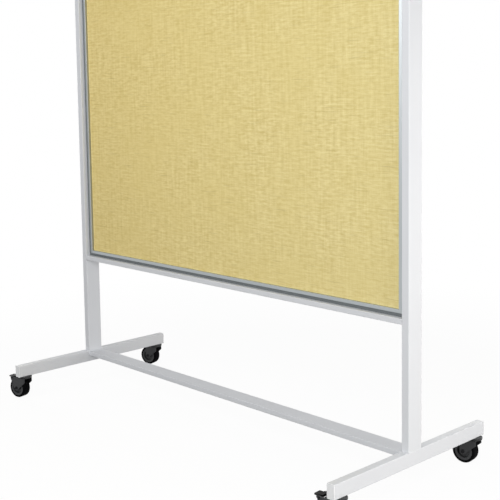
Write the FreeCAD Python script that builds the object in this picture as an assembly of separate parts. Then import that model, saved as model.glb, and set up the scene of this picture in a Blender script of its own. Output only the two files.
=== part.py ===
import FreeCAD, Part
import math
import os

Vector = FreeCAD.Vector

# Mobile display board: a pinboard covered in hessian, held in a tube frame on
# four swivel casters. Millimetres, X along the board, -Y to its front, +Z up,
# origin on the floor under the middle of the frame.

# Board: a soft core with hessian on both faces, in a mitred trim with hollow lips that stand proud
board_width = 1800.0
board_height = 1200.0
board_thickness = 16.8
trim_depth = 36.0
trim_lip = 13.0
trim_wall = 1.5
trim_edge_radius = 0.8
hessian_thickness = 1.2
hessian_clearance = 0.1
key_leg = 60.0
key_thickness = 2.0
key_clearance = 0.5

# Frame: welded rectangular tube, posts standing on feet with flush faces
shadow_gap = 12.0
tube_wall = 2.0
tube_corner = 2.5
tube_inner_corner = 1.0
post_width = 30.0
post_depth = 70.0
rail_height = 20.0
foot_height = 50.0
foot_length = 810.0
stretcher_height = 20.0
stretcher_depth = 70.0
stretcher_drop = 3.0
leg_room = 428.0
cap_plate = 2.5
cap_plug = 14.0
cap_plug_wall = 2.0
cap_clearance = 0.15

# Fixings that hold the board in the frame, and the rubber strips that fill its shadow gap
fixing_count = 3
fixing_end_distance = 180.0
screw_radius = 2.5
screw_head_radius = 4.5
screw_bite = 36.0
screw_clearance = 0.1
strip_recess = 3.0
strip_edge = 1.0

# Casters: swivel head, fork and wheel, each caster turned a few degrees about its stem
caster_height = 100.0
swivel_inset = 38.0
front_left_turn = 14.0
front_right_turn = 5.0
rear_left_turn = 17.0
rear_right_turn = 8.0
swivel_trail = 34.0
stem_radius = 5.0
stem_end_spare = 3.0
stem_hole_clearance = 0.5
nut_across_flats = 17.0
nut_height = 10.0
head_radius = 29.0
head_plate = 2.5
head_rim_clearance = 0.5
head_rim_wall = 2.5
head_edge = 1.5
washer_radius = 23.0
washer_thickness = 2.0
washer_clearance = 0.1
king_flange_radius = 9.0
king_flange_thickness = 3.5
king_flange_clearance = 0.2
running_clearance = 0.05

fork_plate = 2.5
fork_bend = 6.0
fork_nose_radius = 28.0
fork_nose_drop = 12.0
fork_boss_radius = 11.0
fork_emboss_radius = 9.0
fork_emboss = 0.5
fork_back_clearance = 11.0
crown_radius = 25.0
crown_top_radius = 23.5
crown_rise = 1.5

wheel_top_clearance = 4.3
wheel_width = 40.0
wheel_side_clearance = 2.0
tread_shoulder = 6.0
tyre_thickness = 9.5
tyre_seat_width = 37.0
tyre_bead_rise = 1.4
tyre_clearance = 0.05
hub_rim_width = 36.0
hub_rim_wall = 9.0
hub_rim_draft = 1.5
hub_web = 14.0
hub_boss_radius = 11.0
hub_boss_draft = 1.5
hub_boss_clearance = 0.5
sleeve_radius = 6.0
sleeve_clearance = 0.1
axle_radius = 4.0
axle_head_radius = 7.0
axle_head_height = 2.0
axle_socket_across_flats = 5.0
axle_socket_depth = 1.5
axle_nut_across_flats = 13.0
axle_nut_height = 6.5
axle_spare = 1.5

# Brake pedals of the front casters
pedal_pin_reach = 59.0
pedal_pin_drop = 6.0
pedal_pin_radius = 3.0
pedal_pin_head_radius = 4.5
pedal_pin_head_height = 1.5
pedal_ear_radius = 6.5
pedal_width = 31.0
pedal_reach = 86.0
pedal_tip_drop = 2.0
pedal_tip_thickness = 4.0
pedal_tip_corner = 4.0
pedal_overhang = 8.0
pedal_skirt = 12.0
pedal_step_reach = 67.0
pedal_step = 3.0
pedal_back_reach = 51.0
pedal_back_rise = 1.0
pedal_skin = 2.5
pedal_boss_radius = 6.0
pedal_boss_clearance = 0.5
brake_gap = 3.4
brake_shoe_width = 24.0
brake_shoe_start = 5.5
brake_shoe_length = 6.0

# Levels and places that follow from the sizes above
foot_top = caster_height + foot_height
rail_bottom = foot_top + leg_room
rail_top = rail_bottom + rail_height
board_bottom = rail_top + shadow_gap
board_top = board_bottom + board_height
top_rail_bottom = board_top + shadow_gap
frame_top = top_rail_bottom + rail_height
inner_half = board_width / 2 + shadow_gap
post_x = inner_half + post_width / 2
swivel_y = foot_length / 2 - swivel_inset
core_edge = trim_wall + key_thickness + key_clearance
hessian_outer = board_thickness / 2
hessian_inner = hessian_outer - hessian_thickness
slot_half = hessian_outer + hessian_clearance
lip_depth = trim_depth / 2 - slot_half
key_depth = 2 * (slot_half - key_clearance)

crown_top = caster_height - head_plate - washer_thickness - 2 * washer_clearance
fork_top = crown_top - crown_rise
fork_under = fork_top - fork_plate
wheel_radius = (fork_under - wheel_top_clearance) / 2
axle_height = wheel_radius
tyre_seat_radius = wheel_radius - tyre_thickness
fork_inner = wheel_width / 2 + wheel_side_clearance
fork_outer = fork_inner + fork_plate
pedal_pin_height = fork_top - pedal_pin_drop
pedal_tip_height = fork_top - pedal_tip_drop
pedal_back_height = fork_top + pedal_back_rise
brake_shoe_near = pedal_pin_reach + brake_shoe_start
brake_shoe_far = brake_shoe_near + brake_shoe_length

UP = Vector(0, 0, 1)
ACROSS = Vector(0, 1, 0)
LENGTHWAYS = Vector(1, 0, 0)
# Sections are drawn in the XY plane and pushed along Z: these lay them along X or Y
ALONG_Z = FreeCAD.Rotation()
ALONG_X = FreeCAD.Rotation(ACROSS, UP, LENGTHWAYS, "ZXY")
ALONG_Y = FreeCAD.Rotation(UP, LENGTHWAYS, ACROSS, "ZXY")


def polygon(points):
    """Flat face through the points."""
    return Part.Face(Part.makePolygon(points + points[:1]))


def outline(edges):
    """Flat face inside edges that meet end to end."""
    return Part.Face(Part.Wire(edges))


def line(start, end):
    return Part.LineSegment(start, end).toShape()


def arc(start, middle, end):
    return Part.Arc(start, middle, end).toShape()


def rounded_rectangle(size_x, size_y, radius):
    """Face in the XY plane, centred on the origin."""
    arcs = []
    for quarter, (side_x, side_y) in enumerate([(1, 1), (-1, 1), (-1, -1), (1, -1)]):
        centre = Vector(side_x * (size_x / 2 - radius), side_y * (size_y / 2 - radius), 0)
        arcs.append(Part.makeCircle(radius, centre, UP, 90 * quarter, 90 * quarter + 90))
    edges = []
    for this, following in zip(arcs, arcs[1:] + arcs[:1]):
        edges.append(this)
        edges.append(line(this.valueAt(this.LastParameter), following.valueAt(following.FirstParameter)))
    return outline(edges)


def laid(shape, rotation, base):
    shape.Placement = FreeCAD.Placement(base, rotation)
    return shape


def tube(size_x, size_y, length):
    """Hollow rectangular tube standing on the XY plane."""
    outer = rounded_rectangle(size_x, size_y, tube_corner)
    inner = rounded_rectangle(size_x - 2 * tube_wall, size_y - 2 * tube_wall, tube_inner_corner)
    return outer.cut(inner).extrude(UP * length)


def cap(size_x, size_y):
    """End cap with its plate from z = 0 up, and a hollow plug below that fills the tube."""
    room = 2 * (tube_wall + cap_clearance)
    plate = rounded_rectangle(size_x, size_y, tube_corner).extrude(UP * cap_plate)
    plug = rounded_rectangle(size_x - room, size_y - room, tube_inner_corner)
    hollow = 2 * cap_plug_wall
    core = rounded_rectangle(size_x - room - hollow, size_y - room - hollow, tube_inner_corner)
    return plate.fuse(plug.cut(core).extrude(UP * -cap_plug))


def spun(points, axis=UP, centre=Vector(0, 0, 0)):
    """Solid of revolution from a closed half section."""
    return polygon(points).revolve(centre, axis, 360)


def hexagon_prism(across_flats, height):
    corner = Vector(across_flats / math.sqrt(3), 0, 0)
    points = [FreeCAD.Rotation(UP, 60 * k).multVec(corner) for k in range(6)]
    return polygon(points).extrude(UP * height)


def fixing_places():
    """Places along X of the board's fixings, evenly spaced."""
    end = board_width / 2 - fixing_end_distance
    return [end * (2 * k / (fixing_count - 1) - 1) for k in range(fixing_count)]


# Frame

def post(side):
    length = frame_top - cap_plate - foot_top
    return laid(tube(post_width, post_depth, length), ALONG_Z, Vector(side * post_x, 0, foot_top))


def post_caps():
    caps = []
    for side in (-1, 1):
        base = Vector(side * post_x, 0, frame_top - cap_plate)
        caps.append(laid(cap(post_width, post_depth), ALONG_Z, base))
    return Part.makeCompound(caps)


def foot(side):
    """Foot along Y, with a hole in its underside for each caster's stem."""
    length = foot_length - 2 * cap_plate
    start = Vector(side * post_x, -length / 2, caster_height + foot_height / 2)
    body = laid(tube(foot_height, post_width, length), ALONG_Y, start)
    for end in (-1, 1):
        below = Vector(side * post_x, end * swivel_y, caster_height - tube_wall)
        body = body.cut(Part.makeCylinder(stem_radius + stem_hole_clearance, 3 * tube_wall, below))
    return body


def foot_caps():
    caps = []
    outwards = ALONG_Y
    inwards = FreeCAD.Rotation(UP, 180).multiply(ALONG_Y)
    for side in (-1, 1):
        for end, turn in ((1, outwards), (-1, inwards)):
            mouth = end * (foot_length / 2 - cap_plate)
            base = Vector(side * post_x, mouth, caster_height + foot_height / 2)
            caps.append(laid(cap(foot_height, post_width), turn, base))
    return Part.makeCompound(caps)


def stretcher():
    """Low flat tube between the feet."""
    middle = foot_top - stretcher_drop - stretcher_height / 2
    body = tube(stretcher_depth, stretcher_height, 2 * inner_half)
    return laid(body, ALONG_X, Vector(-inner_half, 0, middle))


def fixing_hole(start, reach, mouth_side):
    """Clearance hole along Z with a countersink at its mouth, below (-1) or above (1)."""
    bore = screw_radius + screw_clearance
    head = screw_head_radius + screw_clearance
    points = [
        Vector(0, 0, 0),
        Vector(head, 0, 0),
        Vector(bore, 0, head - bore),
        Vector(bore, 0, reach),
        Vector(0, 0, reach),
    ]
    hole = spun(points)
    if mouth_side > 0:
        hole.rotate(Vector(0, 0, 0), LENGTHWAYS, 180)
    hole.translate(start)
    return hole


def rail(underside, mouth_side):
    """Cross tube between the posts, drilled for the board's fixings."""
    body = tube(post_depth, rail_height, 2 * inner_half)
    body = laid(body, ALONG_X, Vector(-inner_half, 0, underside + rail_height / 2))
    mouth = underside if mouth_side < 0 else underside + rail_height
    for x in fixing_places():
        body = body.cut(fixing_hole(Vector(x, 0, mouth), rail_height + tube_wall, mouth_side))
    return body


# Board

def trim(length):
    """Mitred channel with its web on z = 0 and its two hollow lips up, along X."""
    section = rounded_rectangle(trim_depth, trim_lip, trim_edge_radius)
    section.translate(Vector(0, -trim_lip / 2, 0))
    slot = Part.makeBox(2 * slot_half, 2 * trim_lip, 4 * trim_wall)
    slot.translate(Vector(-slot_half, -trim_lip + trim_wall, -2 * trim_wall))
    section = section.cut(slot)
    for hand in (-1, 1):
        hollow = rounded_rectangle(lip_depth - 2 * trim_wall, trim_lip - 2 * trim_wall, trim_edge_radius)
        hollow.translate(Vector(hand * (slot_half + lip_depth / 2), -trim_lip / 2, 0))
        section = section.cut(hollow)
    section = section.Faces[0]
    channel = laid(section.extrude(UP * length), ALONG_X, Vector(-length / 2, 0, trim_lip))
    half = length / 2
    corners = [
        Vector(-half, -trim_depth, 0),
        Vector(half, -trim_depth, 0),
        Vector(half - trim_lip, -trim_depth, trim_lip),
        Vector(-half + trim_lip, -trim_depth, trim_lip),
    ]
    return channel.common(polygon(corners).extrude(ACROSS * (2 * trim_depth)))


def trim_on(side_x, side_z):
    """The trim of one edge of the board, named by the side that it lies on."""
    middle = (board_bottom + board_top) / 2
    if side_x:
        body = trim(board_height)
        body.rotate(Vector(0, 0, 0), ACROSS, -90 * side_x)
        body.translate(Vector(side_x * board_width / 2, 0, middle))
        return body
    body = trim(board_width)
    if side_z > 0:
        body.rotate(Vector(0, 0, 0), ACROSS, 180)
    edge = board_top if side_z > 0 else board_bottom
    body.translate(Vector(0, 0, edge))
    for x in fixing_places():
        body = body.cut(fixing_bore(x, edge, side_z))
    return body


def fixing_bore(x, edge, side_z):
    """Bore for a fixing's shank, from the shadow gap into the board."""
    start = edge + side_z * shadow_gap / 2
    length = shadow_gap / 2 + screw_bite + screw_clearance
    return Part.makeCylinder(screw_radius + screw_clearance, length, Vector(x, 0, start), UP * -side_z)


def board_layer(inner, outer):
    """Flat layer of the board inside its trim, between two depths along Y."""
    wide = board_width - 2 * core_edge
    high = board_height - 2 * core_edge
    return Part.makeBox(wide, outer - inner, high, Vector(-wide / 2, inner, board_bottom + core_edge))


def board_core():
    body = board_layer(-hessian_inner, hessian_inner)
    for x in fixing_places():
        body = body.cut(fixing_bore(x, board_bottom, -1))
        body = body.cut(fixing_bore(x, board_top, 1))
    return body


def corner_keys():
    """Angle keys that join the trims inside their channels."""
    keys = []
    for side_x in (-1, 1):
        for side_z in (-1, 1):
            edge = board_top if side_z > 0 else board_bottom
            inside = side_x * (board_width / 2 - trim_wall)
            corner = Vector(inside, -key_depth / 2, edge - side_z * trim_wall)
            steps = [(0, 0), (key_leg, 0), (key_leg, key_thickness), (key_thickness, key_thickness)]
            steps += [(key_thickness, key_leg), (0, key_leg)]
            points = [corner + Vector(-side_x * along, 0, -side_z * up) for along, up in steps]
            keys.append(polygon(points).extrude(ACROSS * key_depth))
    return Part.makeCompound(keys)


def fixing_screws():
    """Countersunk screws through the rails into the board's edges."""
    length = rail_height + shadow_gap + screw_bite
    points = [
        Vector(0, 0, 0),
        Vector(screw_head_radius, 0, 0),
        Vector(screw_radius, 0, screw_head_radius - screw_radius),
        Vector(screw_radius, 0, length - screw_radius),
        Vector(0, 0, length),
    ]
    screws = []
    for x in fixing_places():
        lower = spun(points)
        lower.translate(Vector(x, 0, rail_bottom))
        upper = spun(points)
        upper.rotate(Vector(0, 0, 0), LENGTHWAYS, 180)
        upper.translate(Vector(x, 0, frame_top))
        screws += [lower, upper]
    return Part.makeCompound(screws)


def board_spacers():
    """Rubber packing strips all round the board, set back behind the face of its trim."""
    depth = trim_depth - 2 * strip_recess
    strips = []
    for side, level in ((-1, rail_top), (1, board_top)):
        strip = rounded_rectangle(depth, shadow_gap, strip_edge).extrude(UP * (2 * inner_half))
        strip = laid(strip, ALONG_X, Vector(-inner_half, 0, level + shadow_gap / 2))
        for x in fixing_places():
            bore = Part.makeCylinder(screw_radius + screw_clearance, shadow_gap, Vector(x, 0, level))
            strip = strip.cut(bore)
        upright = rounded_rectangle(shadow_gap, depth, strip_edge).extrude(UP * board_height)
        upright_x = side * (board_width + shadow_gap) / 2
        strips += [strip, laid(upright, ALONG_Z, Vector(upright_x, 0, board_bottom))]
    return Part.makeCompound(strips)


# Casters, drawn with the swivel axis on Z and the floor at z = 0, trailing to -X

def stem_nut():
    """Weld nut inside the foot's underside."""
    nut = hexagon_prism(nut_across_flats, nut_height)
    nut = nut.cut(Part.makeCylinder(stem_radius + running_clearance, nut_height))
    nut.translate(Vector(0, 0, caster_height + tube_wall))
    return nut


def kingpin():
    """Stem that the foot's nut holds, with the flange that carries the fork when lifted."""
    flange_top = fork_under - king_flange_clearance
    stem_top = caster_height + tube_wall + nut_height + stem_end_spare
    points = [
        Vector(0, 0, flange_top - king_flange_thickness),
        Vector(king_flange_radius, 0, flange_top - king_flange_thickness),
        Vector(king_flange_radius, 0, flange_top),
        Vector(stem_radius, 0, flange_top),
        Vector(stem_radius, 0, stem_top - stem_end_spare / 2),
        Vector(stem_radius - stem_end_spare / 2, 0, stem_top),
        Vector(0, 0, stem_top),
    ]
    return spun(points)


def swivel_head():
    """Pressed dish under the foot, whose rim covers the swivel race."""
    under = caster_height - head_plate
    rim_foot = fork_top + head_rim_clearance
    rim_inner = head_radius - head_rim_wall
    bore = stem_radius + running_clearance
    points = [
        Vector(bore, 0, caster_height),
        Vector(head_radius - head_edge, 0, caster_height),
        Vector(head_radius, 0, caster_height - head_edge),
        Vector(head_radius, 0, rim_foot + head_edge / 2),
        Vector(head_radius - head_edge / 2, 0, rim_foot),
        Vector(rim_inner, 0, rim_foot),
        Vector(rim_inner, 0, under),
        Vector(bore, 0, under),
    ]
    return spun(points)


def swivel_washer():
    """Thrust washer between the dish and the fork's crown."""
    base = Vector(0, 0, crown_top + washer_clearance)
    ring = Part.makeCylinder(washer_radius, washer_thickness, base)
    return ring.cut(Part.makeCylinder(stem_radius + running_clearance, washer_thickness, base))


def fork_section():
    """Bent sheet across the wheel: a web above and a leg each side, in the YZ plane."""
    inner_bend = fork_bend - fork_plate
    lean = math.sqrt(0.5)

    def point(y, z):
        return Vector(0, y, z)

    def bend(side, half, top, radius):
        centre_y = half - radius
        centre_z = top - radius
        low = point(side * half, centre_z)
        middle = point(side * (centre_y + radius * lean), centre_z + radius * lean)
        return low, middle, point(side * centre_y, top)

    left_low, left_middle, left_top = bend(-1, fork_outer, fork_top, fork_bend)
    right_low, right_middle, right_top = bend(1, fork_outer, fork_top, fork_bend)
    left_in_low, left_in_middle, left_in_top = bend(-1, fork_inner, fork_under, inner_bend)
    right_in_low, right_in_middle, right_in_top = bend(1, fork_inner, fork_under, inner_bend)
    return outline([
        line(point(-fork_outer, 0), left_low),
        arc(left_low, left_middle, left_top),
        line(left_top, right_top),
        arc(right_top, right_middle, right_low),
        line(right_low, point(fork_outer, 0)),
        line(point(fork_outer, 0), point(fork_inner, 0)),
        line(point(fork_inner, 0), right_in_low),
        arc(right_in_low, right_in_middle, right_in_top),
        line(right_in_top, left_in_top),
        arc(left_in_top, left_in_middle, left_in_low),
        line(left_in_low, point(-fork_inner, 0)),
        line(point(-fork_inner, 0), point(-fork_outer, 0)),
    ])


def tangent_point(corner, centre, radius, side):
    """Point where a line from the corner touches the circle, on its left (1) or right (-1)."""
    away = math.atan2(corner.z - centre.z, corner.x - centre.x)
    half_angle = math.acos(radius / (corner - centre).Length)
    angle = away + side * half_angle
    return centre + Vector(radius * math.cos(angle), 0, radius * math.sin(angle))


def fork_side(braked):
    """Outline of the fork's legs in the XZ plane, tapering to the axle."""
    axle = Vector(-swivel_trail, 0, axle_height)
    front_low = Vector(fork_nose_radius, 0, fork_top - fork_nose_drop)
    back = pedal_pin_reach + pedal_ear_radius if braked else swivel_trail + fork_back_clearance
    back_low = Vector(-back, 0, pedal_pin_height - pedal_ear_radius)
    front_touch = tangent_point(front_low, axle, fork_boss_radius, -1)
    back_touch = tangent_point(back_low, axle, fork_boss_radius, 1)
    bottom = axle + Vector(0, 0, -fork_boss_radius)
    return outline([
        line(Vector(-back, 0, fork_top), Vector(fork_nose_radius, 0, fork_top)),
        line(Vector(fork_nose_radius, 0, fork_top), front_low),
        line(front_low, front_touch),
        arc(front_touch, bottom, back_touch),
        line(back_touch, back_low),
        line(back_low, Vector(-back, 0, fork_top)),
    ])


def fork_plan():
    """Room seen from above that the fork's blank is cut to: a round nose about the swivel axis."""
    nose = Part.makeCylinder(fork_nose_radius, caster_height)
    start = Vector(-2 * pedal_reach, -2 * fork_outer, 0)
    return nose.fuse(Part.makeBox(2 * pedal_reach, 4 * fork_outer, caster_height, start))


def cross_bore(reach, height, pin_radius):
    """Bore for a pin along Y, right through both legs of the fork."""
    start = Vector(-reach, -2 * fork_outer, height)
    return Part.makeCylinder(pin_radius + running_clearance, 4 * fork_outer, start, ACROSS)


def fork(braked):
    """Pressed fork: crown for the race, two tapered legs, and ears for the pedal's pin."""
    start = Vector(-2 * pedal_reach, 0, 0)
    sheet = fork_section().extrude(LENGTHWAYS * (4 * pedal_reach))
    sheet.translate(start)
    side = fork_side(braked).extrude(ACROSS * (4 * fork_outer))
    side.translate(ACROSS * (-2 * fork_outer))
    body = sheet.common(side).common(fork_plan())
    body = body.fuse(Part.makeCone(crown_radius, crown_top_radius, crown_rise, Vector(0, 0, fork_top)))
    for hand in (-1, 1):
        start = Vector(-swivel_trail, hand * fork_outer, axle_height)
        body = body.fuse(Part.makeCylinder(fork_emboss_radius, fork_emboss, start, ACROSS * hand))
    body = body.cut(Part.makeCylinder(stem_radius + running_clearance, caster_height))
    body = body.cut(cross_bore(swivel_trail, axle_height, axle_radius))
    if braked:
        body = body.cut(cross_bore(pedal_pin_reach, pedal_pin_height, pedal_pin_radius))
        room = Part.makeBox(pedal_reach, 2 * fork_inner, fork_bend + fork_plate)
        room.translate(Vector(-pedal_reach - head_radius, -fork_inner, fork_top - fork_bend))
        body = body.cut(room)
    return body.removeSplitter()


def axle_point(radius, across):
    """Point of a wheel's half section, at a radius from the axle and a place across it."""
    return Vector(-swivel_trail, across, axle_height + radius)


def spun_on_axle(face):
    return face.revolve(Vector(-swivel_trail, 0, axle_height), ACROSS, 360)


def wheel_hub():
    """Moulded hub: long boss on the sleeve, thin web, and a drafted rim for the tyre."""
    bore = sleeve_radius + running_clearance
    boss = fork_inner - hub_boss_clearance
    rim = hub_rim_width / 2
    rim_inner = tyre_seat_radius - hub_rim_wall
    half = [
        (bore, boss),
        (hub_boss_radius - hub_boss_draft, boss),
        (hub_boss_radius, hub_web / 2),
        (rim_inner - hub_rim_draft, hub_web / 2),
        (rim_inner, rim),
        (tyre_seat_radius, rim),
    ]
    points = [axle_point(radius, -across) for radius, across in half]
    points += [axle_point(radius, across) for radius, across in reversed(half)]
    return spun_on_axle(polygon(points))


def tyre():
    """Rubber tyre with round shoulders, seated on the hub's rim."""
    seat = tyre_seat_radius + tyre_clearance
    side = wheel_width / 2
    bead = tyre_seat_width / 2
    flat = side - tread_shoulder
    low = wheel_radius - tread_shoulder
    lean = tread_shoulder * math.sqrt(0.5)

    def shoulder(hand):
        start = axle_point(low, hand * side)
        middle = axle_point(low + lean, hand * (flat + lean))
        return start, middle, axle_point(wheel_radius, hand * flat)

    left_start, left_middle, left_top = shoulder(-1)
    right_start, right_middle, right_top = shoulder(1)
    left_bead = axle_point(seat, -bead)
    right_bead = axle_point(seat, bead)
    left_side = axle_point(seat + tyre_bead_rise, -side)
    right_side = axle_point(seat + tyre_bead_rise, side)
    return spun_on_axle(outline([
        line(right_bead, left_bead),
        line(left_bead, left_side),
        line(left_side, left_start),
        arc(left_start, left_middle, left_top),
        line(left_top, right_top),
        arc(right_top, right_middle, right_start),
        line(right_start, right_side),
        line(right_side, right_bead),
    ]))


def axle_sleeve():
    """Steel sleeve that the fork's legs clamp, on which the hub turns."""
    half = fork_inner - sleeve_clearance
    start = Vector(-swivel_trail, -half, axle_height)
    sleeve = Part.makeCylinder(sleeve_radius, 2 * half, start, ACROSS)
    return sleeve.cut(Part.makeCylinder(axle_radius + running_clearance, 2 * half, start, ACROSS))


def axle():
    """Socket-head bolt through both legs, and its nut."""
    face = fork_outer + fork_emboss
    end = face + axle_nut_height + axle_spare
    start = Vector(-swivel_trail, -face, axle_height)
    bolt = Part.makeCylinder(axle_radius, face + end, start, ACROSS)
    bolt = bolt.fuse(Part.makeCylinder(axle_head_radius, axle_head_height, start, ACROSS * -1))
    socket = hexagon_prism(axle_socket_across_flats, axle_socket_depth)
    socket = laid(socket, ALONG_Y, start - ACROSS * axle_head_height)
    nut = hexagon_prism(axle_nut_across_flats, axle_nut_height)
    nut = nut.cut(Part.makeCylinder(axle_radius + running_clearance, axle_nut_height))
    nut = laid(nut, ALONG_Y, Vector(-swivel_trail, face, axle_height))
    return Part.makeCompound([bolt.cut(socket), nut])


def pedal_profile(shrink):
    """Side outline of the pedal's box in the XZ plane, drawn in by a wall's thickness for its hollow."""
    back = -pedal_back_reach - shrink
    step = -pedal_step_reach + shrink
    front = -pedal_reach + pedal_overhang + shrink
    return polygon([
        Vector(back, 0, pedal_back_height - shrink),
        Vector(step + pedal_step / 2, 0, pedal_back_height - shrink),
        Vector(step, 0, tread_height(step) - shrink),
        Vector(front, 0, tread_height(front) - shrink),
        Vector(front, 0, pedal_tip_height - pedal_skirt - shrink),
        Vector(-pedal_pin_reach, 0, pedal_pin_height - pedal_boss_radius - shrink),
        Vector(back, 0, pedal_pin_height - shrink),
    ])


def tread_height(x):
    """Height of the pedal's sloping tread at a place along X."""
    slope = (pedal_back_height - pedal_step - pedal_tip_height) / (pedal_reach - pedal_back_reach)
    return pedal_tip_height + slope * (pedal_reach + x)


def pedal_tongue():
    """Side outline of the solid tongue that the toe presses, beyond the pedal's box."""
    root = -pedal_reach + pedal_overhang + pedal_skin
    return polygon([
        Vector(root, 0, tread_height(root)),
        Vector(-pedal_reach, 0, pedal_tip_height),
        Vector(-pedal_reach, 0, pedal_tip_height - pedal_tip_thickness),
        Vector(root, 0, pedal_tip_height - pedal_tip_thickness),
    ])


def is_tip_corner(edge):
    """Whether an edge of the pedal's blank stands upright at the tip."""
    box = edge.BoundBox
    return box.XMax < -pedal_step_reach and box.XLength < pedal_skin and box.YLength < pedal_skin


def pedal():
    """Hollow moulded pedal with a stepped tread, a pin boss and a curved brake shoe below."""
    body = pedal_profile(0).extrude(ACROSS * pedal_width)
    body = body.fuse(pedal_tongue().extrude(ACROSS * pedal_width)).removeSplitter()
    body.translate(ACROSS * (-pedal_width / 2))
    tip_corners = [edge for edge in body.Edges if is_tip_corner(edge)]
    body = body.makeFillet(pedal_tip_corner, tip_corners)
    inside = pedal_width - 2 * pedal_skin
    hollow = pedal_profile(pedal_skin).extrude(ACROSS * inside)
    hollow.translate(ACROSS * (-inside / 2))
    body = body.cut(hollow)
    boss_half = fork_inner - pedal_boss_clearance
    pin = Vector(-pedal_pin_reach, -boss_half, pedal_pin_height)
    body = body.fuse(Part.makeCylinder(pedal_boss_radius, 2 * boss_half, pin, ACROSS))
    shoe_start = Vector(-brake_shoe_far, -brake_shoe_width / 2, axle_height)
    shoe_height = pedal_back_height - pedal_skin - axle_height
    shoe = Part.makeBox(brake_shoe_far - brake_shoe_near, brake_shoe_width, shoe_height, shoe_start)
    wheel_room_start = Vector(-swivel_trail, -wheel_width, axle_height)
    shoe = shoe.cut(Part.makeCylinder(wheel_radius + brake_gap, 2 * wheel_width, wheel_room_start, ACROSS))
    body = body.fuse(shoe)
    body = body.cut(cross_bore(pedal_pin_reach, pedal_pin_height, pedal_pin_radius))
    return body.removeSplitter()


def pedal_pin():
    """Headed pin through the fork's ears."""
    reach = fork_outer + running_clearance
    half = [
        (0, reach + pedal_pin_head_height),
        (pedal_pin_head_radius, reach + pedal_pin_head_height),
        (pedal_pin_head_radius, reach),
        (pedal_pin_radius, reach),
    ]
    centre = Vector(-pedal_pin_reach, 0, pedal_pin_height)
    points = [centre + Vector(0, -across, radius) for radius, across in half]
    points += [centre + Vector(0, across, radius) for radius, across in reversed(half)]
    return spun(points, ACROSS, centre)


# Assembly: one node for each name

parts = {
    "left_post": post(-1),
    "right_post": post(1),
    "post_top_caps": post_caps(),
    "left_foot": foot(-1),
    "right_foot": foot(1),
    "foot_end_caps": foot_caps(),
    "stretcher": stretcher(),
    "bottom_rail": rail(rail_bottom, -1),
    "top_rail": rail(top_rail_bottom, 1),
    "board_core": board_core(),
    "front_hessian": board_layer(-hessian_outer, -hessian_inner),
    "rear_hessian": board_layer(hessian_inner, hessian_outer),
    "trim_left": trim_on(-1, 0),
    "trim_right": trim_on(1, 0),
    "trim_top": trim_on(0, 1),
    "trim_bottom": trim_on(0, -1),
    "trim_corner_keys": corner_keys(),
    "board_spacers": board_spacers(),
    "board_screws": fixing_screws(),
}

# Side and end that each caster stands at, and how far it has swivelled from trailing to -X
caster_places = {
    "front_left": (-1, -1, front_left_turn),
    "front_right": (1, -1, front_right_turn),
    "rear_left": (-1, 1, rear_left_turn),
    "rear_right": (1, 1, rear_right_turn),
}
stem_nuts = []
kingpins = []
washers = []
for name, (side, end, turn) in caster_places.items():
    braked = end < 0
    pieces = {
        "swivel_head": swivel_head(),
        "fork": fork(braked),
        "axle": axle(),
        "axle_sleeve": axle_sleeve(),
        "wheel_hub": wheel_hub(),
        "tyre": tyre(),
    }
    if braked:
        pieces["brake_pedal"] = pedal()
        pieces["pedal_pin"] = pedal_pin()
    place = Vector(side * post_x, end * swivel_y, 0)
    for piece, shape in pieces.items():
        shape.rotate(Vector(0, 0, 0), UP, turn)
        shape.translate(place)
        parts[name + "_" + piece] = shape
    for group, shape in (
        (stem_nuts, stem_nut()),
        (kingpins, kingpin()),
        (washers, swivel_washer()),
    ):
        shape.translate(place)
        group.append(shape)
parts["stem_nuts"] = Part.makeCompound(stem_nuts)
parts["caster_kingpins"] = Part.makeCompound(kingpins)
parts["swivel_washers"] = Part.makeCompound(washers)

os.makedirs("parts", exist_ok=True)
for node, shape in parts.items():
    shape.exportStep("parts/" + node + ".step")
    state = "valid" if shape.isValid() else "INVALID"
    print(node, len(shape.Solids), "solid(s)", round(shape.Volume / 1000, 2), "cm3", state)
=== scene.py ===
import math

import bmesh
import bpy
from mathutils import Matrix, Vector, noise


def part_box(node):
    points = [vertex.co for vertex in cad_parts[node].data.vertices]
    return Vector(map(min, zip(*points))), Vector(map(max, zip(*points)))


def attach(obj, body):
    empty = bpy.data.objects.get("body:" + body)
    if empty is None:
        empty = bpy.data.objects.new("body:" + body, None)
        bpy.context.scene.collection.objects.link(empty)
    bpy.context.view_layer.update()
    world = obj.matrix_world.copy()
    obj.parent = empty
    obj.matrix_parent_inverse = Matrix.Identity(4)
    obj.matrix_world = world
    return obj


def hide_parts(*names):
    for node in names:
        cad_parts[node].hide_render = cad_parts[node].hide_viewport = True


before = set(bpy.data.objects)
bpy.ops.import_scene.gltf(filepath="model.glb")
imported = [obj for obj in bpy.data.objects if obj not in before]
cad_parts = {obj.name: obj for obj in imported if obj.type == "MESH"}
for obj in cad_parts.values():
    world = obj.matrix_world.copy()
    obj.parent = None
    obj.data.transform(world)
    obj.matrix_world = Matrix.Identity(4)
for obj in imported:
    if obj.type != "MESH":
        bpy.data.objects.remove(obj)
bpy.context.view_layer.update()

MM = 0.001

# The hessian, whose yarns stand up unevenly from the cloth
CLOTH_THICKNESS = 0.5 * MM
YARN_RELIEF = 0.6 * MM
WEFT_SLUB_LENGTH = 70 * MM
WEFT_SLUB_HEIGHT = 10 * MM
WARP_STREAK_WIDTH = 36 * MM
WARP_STREAK_LENGTH = 180 * MM
MEAN_HOLLOW = 0.5
WEFT_SHARE = 0.35
WARP_SHARE = 0.15
CLOTH_COLUMNS = 112
CLOTH_ROWS = 300
BOARD_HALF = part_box("front_hessian")[1].x

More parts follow.
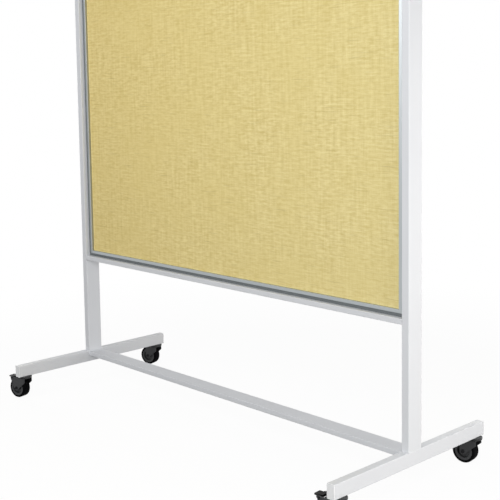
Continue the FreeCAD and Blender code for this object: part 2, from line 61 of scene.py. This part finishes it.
# The camera stands in front of the right-hand end, at chest height
CAMERA_PLACE = Vector((2.8995, -2.5861, 1.3703))
CAMERA_YAW = math.radians(46.658)
CAMERA_PITCH = math.radians(5.614)
CAMERA_ROLL = math.radians(-0.854)
CAMERA_LENS = 71.372
CAMERA_SENSOR = 36.0
CAMERA_SHIFT = -0.135

# Studio: a wide pale floor, even white surroundings and soft boxes
FLOOR_SIDE = 16.0
# The floor keeps its shadows within the near distance and is plain white beyond the far one
FLOOR_NEAR = 1.6
FLOOR_FAR = 3.2
FLOOR_WHITENESS = 0.95
SURROUND_STRENGTH = 0.09
WHITE = "#FFFFFF"
WARM_WHITE = "#FFFCF8"

# Sockets of a Mix node by number, since several of them share a name
MIX_SHARE = 0
COLOUR_A = 6
COLOUR_B = 7
COLOUR_OUT = 2
VALUE_A = 2
VALUE_B = 3
VALUE_OUT = 0

# A Wave texture of scale 1 repeats over this length
WAVE_PERIOD = math.pi / 10


def linear(hex_colour):
    """An sRGB hex colour as linear red, green and blue with full alpha."""
    channels = [int(hex_colour[i : i + 2], 16) / 255 for i in (1, 3, 5)]
    return [c / 12.92 if c <= 0.04045 else ((c + 0.055) / 1.055) ** 2.4 for c in channels] + [1.0]


def per(millimetres):
    """How many of a feature of this size fit in a metre, which is a texture's scale."""
    return 1 / (millimetres * MM)


def add(tree, kind, inputs=None, **settings):
    """Adds a node with its settings; an input is a value or another node's output."""
    node = tree.nodes.new("ShaderNode" + kind)
    for name, value in settings.items():
        setattr(node, name, value)
    for socket, value in (inputs or {}).items():
        if isinstance(value, bpy.types.NodeSocket):
            tree.links.new(value, node.inputs[socket])
        else:
            node.inputs[socket].default_value = value
    return node


def start_material(name):
    """An empty material, its node tree, and the place of each point of a piece."""
    material = bpy.data.materials.new(name)
    material.use_nodes = True
    tree = material.node_tree
    tree.nodes.clear()
    place = add(tree, "TexCoord").outputs["Object"]
    return material, tree, place


def end_material(tree, inputs):
    """One Principled shader with these inputs, on the material's output."""
    shader = add(tree, "BsdfPrincipled", inputs)
    add(tree, "OutputMaterial", {"Surface": shader.outputs[0]})


def powder_coat():
    """Polyester powder baked on steel tube: pale silver grey, satin, with a faint orange-peel skin."""
    material, tree, place = start_material("satin_powder_coat")
    tone = add(tree, "TexNoise", {"Vector": place, "Scale": per(260), "Detail": 2.0})
    # Real orange peel is about 2 mm across; drawn at 7 mm so that it shows at all
    peel = add(tree, "TexNoise", {"Vector": place, "Scale": per(7), "Detail": 2.0})
    gloss = add(tree, "TexNoise", {"Vector": place, "Scale": per(90), "Detail": 3.0})
    colour = add(
        tree, "Mix",
        {MIX_SHARE: tone.outputs["Fac"], COLOUR_A: linear("#D6D8DC"), COLOUR_B: linear("#DEE0E3")},
        data_type="RGBA",
    )
    roughness = add(tree, "MapRange", {"Value": gloss.outputs["Fac"], "To Min": 0.34, "To Max": 0.48})
    bump = add(tree, "Bump", {"Height": peel.outputs["Fac"], "Strength": 0.12, "Distance": 0.15 * MM})
    end_material(tree, {
        "Base Color": colour.outputs[COLOUR_OUT],
        "Roughness": roughness.outputs["Result"],
        "Normal": bump.outputs["Normal"],
    })
    return material


def grained_skin(name, dark, light, smooth, rough, grit_mm, specular):
    """A moulded or dipped skin: fine grain breaks up its gloss, and flow marks shift its tone a little."""
    material, tree, place = start_material(name)
    flow = add(tree, "TexNoise", {"Vector": place, "Scale": per(24), "Detail": 3.0})
    # Real grain is about 0.1 mm across; drawn at 2 to 3 mm so that it shows
    grain = add(tree, "TexNoise", {"Vector": place, "Scale": per(grit_mm), "Detail": 2.0})
    colour = add(
        tree, "Mix",
        {MIX_SHARE: flow.outputs["Fac"], COLOUR_A: linear(dark), COLOUR_B: linear(light)},
        data_type="RGBA",
    )
    roughness = add(tree, "MapRange", {"Value": grain.outputs["Fac"], "To Min": smooth, "To Max": rough})
    bump = add(tree, "Bump", {"Height": grain.outputs["Fac"], "Strength": 0.2, "Distance": 0.1 * MM})
    end_material(tree, {
        "Base Color": colour.outputs[COLOUR_OUT],
        "Roughness": roughness.outputs["Result"],
        "Specular IOR Level": specular,
        "Normal": bump.outputs["Normal"],
    })
    return material


def anodised_aluminium(name, line_mm):
    """Extruded, satin-anodised channel: mid grey metal with fine die lines along its length."""
    material, tree, place = start_material(name)
    lines = add(tree, "Mapping", {"Vector": place, "Scale": [per(length) for length in line_mm]})
    die = add(tree, "TexNoise", {"Vector": lines.outputs["Vector"], "Scale": 1.0, "Detail": 4.0})
    colour = add(
        tree, "Mix",
        {MIX_SHARE: die.outputs["Fac"], COLOUR_A: linear("#9AA0A2"), COLOUR_B: linear("#B4B9BB")},
        data_type="RGBA",
    )
    roughness = add(tree, "MapRange", {"Value": die.outputs["Fac"], "To Min": 0.3, "To Max": 0.5})
    bump = add(tree, "Bump", {"Height": die.outputs["Fac"], "Strength": 0.15, "Distance": 0.08 * MM})
    end_material(tree, {
        "Base Color": colour.outputs[COLOUR_OUT],
        "Metallic": 1.0,
        "Roughness": roughness.outputs["Result"],
        "Normal": bump.outputs["Normal"],
    })
    return material


def jute_hessian():
    """Plain-woven jute in straw gold: uneven yarns give short level slubs and faint upright streaks."""
    material, tree, place = start_material("jute_hessian")
    # Each pattern: the size of its feature along the board and up it, in millimetres
    sizes = {
        "slub": (100, 8),
        "dash": (42, 6),
        "streak": (12, 140),
        "mottle": (26, 9),
        "thread": (130, 6),
        "tone": (320, 260),
    }
    pattern = {}
    for name, (along, up) in sizes.items():
        spread = add(tree, "Mapping", {"Vector": place, "Scale": (per(along), 0.0, per(up))})
        pattern[name] = add(
            tree, "TexNoise", {"Vector": spread.outputs["Vector"], "Scale": 1.0, "Detail": 2.0}
        ).outputs["Fac"]
    # The real yarns lie 2.4 mm apart; drawn at 7 mm so that the weave shows
    weave = {}
    for direction in "XZ":
        weave[direction] = add(
            tree, "TexWave",
            {"Vector": place, "Scale": per(7) * WAVE_PERIOD, "Distortion": 6.0, "Detail": 2.0},
            wave_type="BANDS", bands_direction=direction,
        ).outputs["Fac"]
    cross = add(
        tree, "Mix", {MIX_SHARE: 0.5, VALUE_A: weave["X"], VALUE_B: weave["Z"]}, data_type="FLOAT"
    ).outputs[VALUE_OUT]
    # The yarns' uneven tone, from the long slubs and the shorter marks laid over them
    yarns = pattern["slub"]
    for name, share in (("dash", 0.4), ("streak", 0.35), ("mottle", 0.35)):
        yarns = add(
            tree, "Mix", {MIX_SHARE: share, VALUE_A: yarns, VALUE_B: pattern[name]}, data_type="FLOAT"
        ).outputs[VALUE_OUT]
    yarns = add(tree, "MapRange", {"Value": yarns, "From Min": 0.4, "From Max": 0.6}).outputs["Result"]
    straw = add(
        tree, "Mix",
        {MIX_SHARE: yarns, COLOUR_A: linear("#DBC17B"), COLOUR_B: linear("#FEEBB3")},
        data_type="RGBA",
    ).outputs[COLOUR_OUT]
    aged = add(
        tree, "Mix",
        {MIX_SHARE: pattern["tone"], COLOUR_A: straw, COLOUR_B: linear("#EDD691")},
        data_type="RGBA",
    ).outputs[COLOUR_OUT]
    # Painted shadow: only the thickest yarns, where this noise peaks, throw a dark line
    thick = add(
        tree, "MapRange",
        {"Value": pattern["thread"], "From Min": 0.61, "From Max": 0.76, "To Max": 0.4},
    ).outputs["Result"]
    yarn_shadows = add(
        tree, "Mix", {MIX_SHARE: thick, COLOUR_A: aged, COLOUR_B: linear("#BA9F5E")}, data_type="RGBA"
    ).outputs[COLOUR_OUT]
    # Painted sheen: the gold is painted paler towards the right-hand end, where the lamps' sheen whitens the
    # cloth
    across = add(tree, "SeparateXYZ", {"Vector": place}).outputs["X"]
    painted_sheen_share = add(
        tree, "MapRange", {"Value": across, "From Min": -BOARD_HALF, "From Max": BOARD_HALF}
    ).outputs["Result"]
    painted_sheen_tint = add(
        tree, "Mix",
        {MIX_SHARE: painted_sheen_share, COLOUR_A: linear("#FFFFF0"), COLOUR_B: linear("#F9FFFF")},
        data_type="RGBA",
    ).outputs[COLOUR_OUT]
    painted_sheen_cloth = add(
        tree, "Mix",
        {MIX_SHARE: 1.0, COLOUR_A: yarn_shadows, COLOUR_B: painted_sheen_tint},
        data_type="RGBA", blend_type="MULTIPLY",
    ).outputs[COLOUR_OUT]
    shade = add(
        tree, "Mix",
        {MIX_SHARE: 0.12, COLOUR_A: painted_sheen_cloth, COLOUR_B: cross},
        data_type="RGBA", blend_type="SOFT_LIGHT",
    ).outputs[COLOUR_OUT]
    height = add(
        tree, "Mix", {MIX_SHARE: 0.5, VALUE_A: cross, VALUE_B: yarns}, data_type="FLOAT"
    ).outputs[VALUE_OUT]
    bump = add(tree, "Bump", {"Height": height, "Strength": 0.3, "Distance": 0.6 * MM})
    end_material(tree, {
        "Base Color": shade,
        "Roughness": 0.9,
        "Specular IOR Level": 0.2,
        "Sheen Weight": 0.15,
        "Sheen Roughness": 0.6,
        "Normal": bump.outputs["Normal"],
    })
    return material


def pressed_fibre():
    """Soft wood-fibre board: brown felted fibres lying every way."""
    material, tree, place = start_material("pressed_wood_fibre")
    fibres = add(tree, "TexNoise", {"Vector": place, "Scale": per(3), "Detail": 6.0})
    colour = add(
        tree, "Mix",
        {MIX_SHARE: fibres.outputs["Fac"], COLOUR_A: linear("#8A6B45"), COLOUR_B: linear("#C4A77C")},
        data_type="RGBA",
    )
    bump = add(tree, "Bump", {"Height": fibres.outputs["Fac"], "Strength": 0.4, "Distance": 0.3 * MM})
    end_material(tree, {
        "Base Color": colour.outputs[COLOUR_OUT],
        "Roughness": 0.95,
        "Normal": bump.outputs["Normal"],
    })
    return material


def plated_steel(name, dark, light, cloud_mm):
    """Plated steel: a thin metal coat, clouded by its crystals and by handling."""
    material, tree, place = start_material(name)
    # Real crystals are too fine to see; drawn as clouds of a few millimetres
    cloud = add(tree, "TexNoise", {"Vector": place, "Scale": per(cloud_mm), "Detail": 4.0})
    colour = add(
        tree, "Mix",
        {MIX_SHARE: cloud.outputs["Fac"], COLOUR_A: linear(dark), COLOUR_B: linear(light)},
        data_type="RGBA",
    )
    roughness = add(tree, "MapRange", {"Value": cloud.outputs["Fac"], "To Min": 0.28, "To Max": 0.5})
    end_material(tree, {
        "Base Color": colour.outputs[COLOUR_OUT],
        "Metallic": 1.0,
        "Roughness": roughness.outputs["Result"],
    })
    return material


def piece_from(shape, name, material):
    """A finished bmesh as an object of the scene."""
    mesh = bpy.data.meshes.new(name)
    shape.to_mesh(mesh)
    shape.free()
    mesh.materials.append(material)
    piece = bpy.data.objects.new(name, mesh)
    bpy.context.scene.collection.objects.link(piece)
    return piece


def stretched_cloth(name, node, outward, material):
    """Hessian pulled tight over one face of the core, uneven where yarns are thick or thin."""
    low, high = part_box(node)
    centre = (low + high) / 2
    centre.y = low.y if outward < 0 else high.y
    turn = Matrix.Rotation(-outward * math.pi / 2, 4, "X")
    stretch = Matrix.Diagonal((high.x - low.x, high.z - low.z, 1.0, 1.0))
    cloth = bmesh.new()
    bmesh.ops.create_grid(
        cloth,
        x_segments=CLOTH_COLUMNS,
        y_segments=CLOTH_ROWS,
        size=0.5,
        matrix=Matrix.Translation(centre) @ turn @ stretch,
    )
    for point in cloth.verts:
        weft = noise.noise((point.co.x / WEFT_SLUB_LENGTH, outward, point.co.z / WEFT_SLUB_HEIGHT))
        warp = noise.noise((point.co.x / WARP_STREAK_WIDTH, outward, point.co.z / WARP_STREAK_LENGTH))
        hollow = MEAN_HOLLOW - WEFT_SHARE * weft - WARP_SHARE * warp
        point.co.y -= outward * YARN_RELIEF * min(max(hollow, 0.0), 1.0)
    for patch in cloth.faces:
        patch.smooth = True
    piece = piece_from(cloth, name, material)
    thickness = piece.modifiers.new("cloth_thickness", "SOLIDIFY")
    thickness.thickness = CLOTH_THICKNESS
    thickness.offset = -1.0
    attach(piece, "frame")
    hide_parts(node)


def seen_directly(tree):
    """1 where the camera, a reflection or a view through glass looks at the surface, else 0."""
    path = add(tree, "LightPath")
    seen = path.outputs["Is Camera Ray"]
    for ray in ("Is Glossy Ray", "Is Transmission Ray"):
        seen = add(tree, "Math", {0: seen, 1: path.outputs[ray]}, operation="MAXIMUM").outputs[0]
    return seen


def studio_paper():
    """Matt white paper, a little less white near the part, where it keeps the part's soft shadow."""
    material, tree, place = start_material("studio_paper")
    distance = add(tree, "VectorMath", {0: place}, operation="LENGTH").outputs["Value"]
    whiteness = add(
        tree, "MapRange",
        {
            "Value": distance,
            "From Min": FLOOR_NEAR,
            "From Max": FLOOR_FAR,
            "To Min": FLOOR_WHITENESS,
            "To Max": 1.0,
        },
    ).outputs["Result"]
    seen = seen_directly(tree)
    share = add(tree, "Math", {0: seen, 1: whiteness}, operation="MULTIPLY").outputs[0]
    # White to look at, but it throws less light back up, so low rails stay shaded in front
    tone = add(
        tree, "Mix", {MIX_SHARE: seen, COLOUR_A: linear("#868686"), COLOUR_B: linear(WHITE)}, data_type="RGBA"
    ).outputs[COLOUR_OUT]
    paper = add(tree, "BsdfDiffuse", {"Color": tone})
    white = add(tree, "Emission", {"Color": linear(WHITE), "Strength": 1.0})
    mixed = add(tree, "MixShader", {0: share, 1: paper.outputs[0], 2: white.outputs[0]})
    add(tree, "OutputMaterial", {"Surface": mixed.outputs[0]})
    return material


def studio_floor():
    """A wide sheet of paper under the casters."""
    sheet = bmesh.new()
    bmesh.ops.create_grid(sheet, x_segments=8, y_segments=8, size=FLOOR_SIDE / 2)
    floor = piece_from(sheet, "studio_floor", studio_paper())


def white_surroundings():
    """Even light from all sides; looked at directly, or in a reflection, it is plain white."""
    world = bpy.data.worlds.new("studio")
    bpy.context.scene.world = world
    world.use_nodes = True
    tree = world.node_tree
    tree.nodes.clear()
    light = add(tree, "Background", {"Color": linear(WHITE), "Strength": SURROUND_STRENGTH})
    white = add(tree, "Background", {"Color": linear(WHITE), "Strength": 1.0})
    mixed = add(tree, "MixShader", {0: seen_directly(tree), 1: light.outputs[0], 2: white.outputs[0]})
    add(tree, "OutputWorld", {"Surface": mixed.outputs[0]})


def soft_box(name, place, aim, side, watts, colour=WHITE):
    """A square studio lamp that faces a point of the part."""
    lamp = bpy.data.lights.new(name, "AREA")
    lamp.shape = "SQUARE"
    lamp.size = side
    lamp.energy = watts
    lamp.color = linear(colour)[:3]
    stand = bpy.data.objects.new(name, lamp)
    stand.location = place
    stand.rotation_euler = (Vector(aim) - Vector(place)).to_track_quat("-Z", "Y").to_euler()
    bpy.context.scene.collection.objects.link(stand)


def photograph_camera():
    """The photograph's viewpoint, tilted a little, with the part raised in its frame by the shift."""
    data = bpy.data.cameras.new("photograph_camera")
    data.lens = CAMERA_LENS
    data.sensor_width = CAMERA_SENSOR
    data.shift_y = CAMERA_SHIFT
    camera = bpy.data.objects.new("photograph_camera", data)
    turn = (
        Matrix.Rotation(CAMERA_YAW, 4, "Z")
        @ Matrix.Rotation(math.pi / 2 - CAMERA_PITCH, 4, "X")
        @ Matrix.Rotation(CAMERA_ROLL, 4, "Z")
    )
    camera.matrix_world = Matrix.Translation(CAMERA_PLACE) @ turn
    bpy.context.scene.collection.objects.link(camera)
    bpy.context.scene.camera = camera


finishes = {
    "frame_paint": powder_coat(),
    # Moulded plugs: near white, with a soft gloss
    "cap_plastic": grained_skin("moulded_polyethylene", "#EFF0F1", "#F6F7F8", 0.4, 0.55, 3, 0.4),
    "hessian": jute_hessian(),
    "core_board": pressed_fibre(),
    # Cut strips in the gap round the board: their dull mid grey is painted shade, standing in for the dark of
    # the gap
    "spacer_rubber": grained_skin("gap_shade_grey_rubber", "#666B6C", "#72777A", 0.7, 0.9, 2, 0.3),
    # Electroplated: bright, slightly yellow grey
    "zinc_steel": plated_steel("bright_zinc_plate", "#A9AAA6", "#CDCEC9", 6),
    # Paint dipped on pressed steel: soft black with a satin gleam on the bends
    "caster_paint": grained_skin("black_electrocoat", "#191A1C", "#232426", 0.34, 0.48, 3, 0.4),
    # Steel darkened in an oxide bath: near black, with a metal gleam
    "axle_steel": plated_steel("blackened_steel", "#1A1A1B", "#2C2C2E", 4),
    # Smooth moulded washers: dark and a little waxy
    "washer_plastic": grained_skin("acetal_washer", "#2A2A2B", "#333335", 0.35, 0.5, 2, 0.4),
    # Moulded hubs: the lightest black on the wheel
    "hub_plastic": grained_skin("black_polypropylene", "#232425", "#303133", 0.42, 0.58, 3, 0.4),
    # Moulded tread: deep black with almost no shine
    "tyre_rubber": grained_skin("moulded_tyre_rubber", "#060607", "#0C0C0E", 0.8, 0.95, 3, 0.03),
    # Moulded pedals: matt black
    "pedal_plastic": grained_skin("black_nylon", "#0E0E0F", "#161618", 0.5, 0.65, 3, 0.15),
}

# Real die lines lie under 0.5 mm apart; drawn at 2.5 mm so that they show, along each length of trim
level_trim = anodised_aluminium("satin_anodised_level_trim", (900, 2.5, 2.5))
upright_trim = anodised_aluminium("satin_anodised_upright_trim", (2.5, 2.5, 900))
trim_finishes = {
    "trim_left": upright_trim,
    "trim_right": upright_trim,
    "trim_top": level_trim,
    "trim_bottom": level_trim,
}

for node_name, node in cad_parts.items():
    slot = node.material_slots[0]
    slot.material = trim_finishes.get(node_name) or finishes[slot.material.name]

stretched_cloth("front_cloth", "front_hessian", -1, finishes["hessian"])
stretched_cloth("rear_cloth", "rear_hessian", 1, finishes["hessian"])

studio_floor()
white_surroundings()
soft_box("key_front_right", (2.7, -2.8, 2.5), (0.3, 0.0, 1.1), side=1.8, watts=69)
soft_box("fill_front_left", (-0.8, -2.9, 2.3), (-0.3, 0.0, 1.1), side=1.6, watts=34)
soft_box("fill_front", (1.2, -4.0, 1.3), (0.0, 0.0, 1.1), side=2.0, watts=27)
# Three lamps light the right-hand end evenly from its foot to its top
soft_box("side_right", (3.1, 0.8, 0.45), (0.9, -0.1, 0.25), side=1.5, watts=14, colour=WARM_WHITE)
soft_box("side_right_high", (3.6, 0.4, 2.0), (0.95, 0.0, 1.5), side=1.6, watts=20, colour=WARM_WHITE)
soft_box("side_right_low", (2.9, -0.4, 0.3), (0.95, -0.2, 0.1), side=0.9, watts=20, colour=WARM_WHITE)
soft_box("back_right", (2.0, 3.6, 1.0), (0.0, 0.0, 1.2), side=1.8, watts=38)
soft_box("back_left", (-1.0, 4.0, 0.8), (-0.1, 0.0, 1.2), side=1.6, watts=29)
soft_box("side_left", (-3.8, 0.3, 1.0), (-0.9, 0.0, 0.7), side=1.4, watts=36)
soft_box("overhead", (0.0, 0.1, 3.1), (0.0, 0.0, 1.8), side=1.0, watts=3.5)
photograph_camera()

bpy.context.scene.view_settings.view_transform = "Standard"
